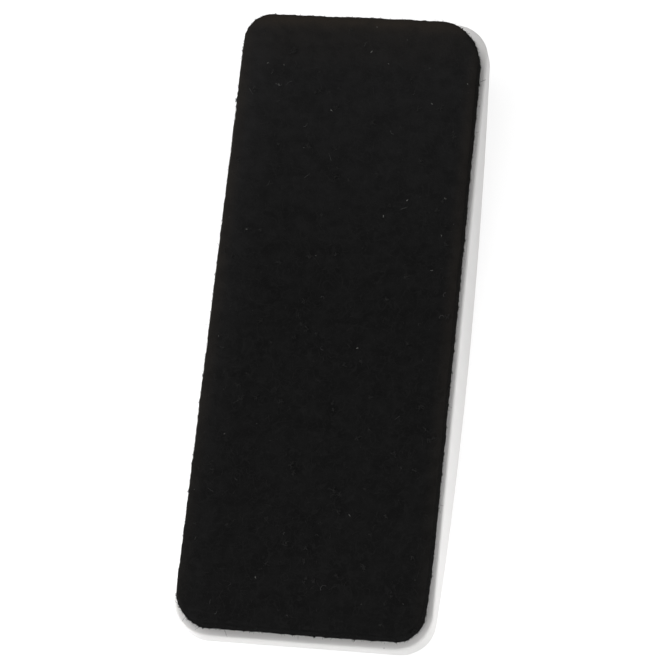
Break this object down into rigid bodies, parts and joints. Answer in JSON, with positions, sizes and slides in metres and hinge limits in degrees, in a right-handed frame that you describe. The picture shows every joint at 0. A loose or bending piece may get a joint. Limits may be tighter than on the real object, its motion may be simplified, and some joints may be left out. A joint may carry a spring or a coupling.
{
  "type": "chalkboard eraser",
  "caption": "Board eraser: a slab of black felt on a narrow-ledged white moulded casing with a bowed back, closed by a pinned base plate that also pockets the holding magnets.",
  "frame": {"origin": "middle of the eraser's box in X and Y, at the level of the surface that it lies on under the crown of its back", "axes": "+Y along the eraser's length, +X across its width, +Z out of the wiping face of the felt"},
  "size_m": [0.0592, 0.1516, 0.0282],
  "materials": {
    "casing": "white moulded plastic, satin",
    "plate": "white moulded plastic, matt",
    "adhesive": "translucent double-sided film",
    "felt": "black needled felt with a fine nap",
    "magnet": "sintered ferrite, as pressed"
  },
  "bodies": {
    "root": {"grip_shell": "casing", "base_plate": "plate", "adhesive_sheet": "adhesive", "felt_pad": "felt", "upper_magnet": "magnet", "lower_magnet": "magnet"}
  },
  "joints": []
}
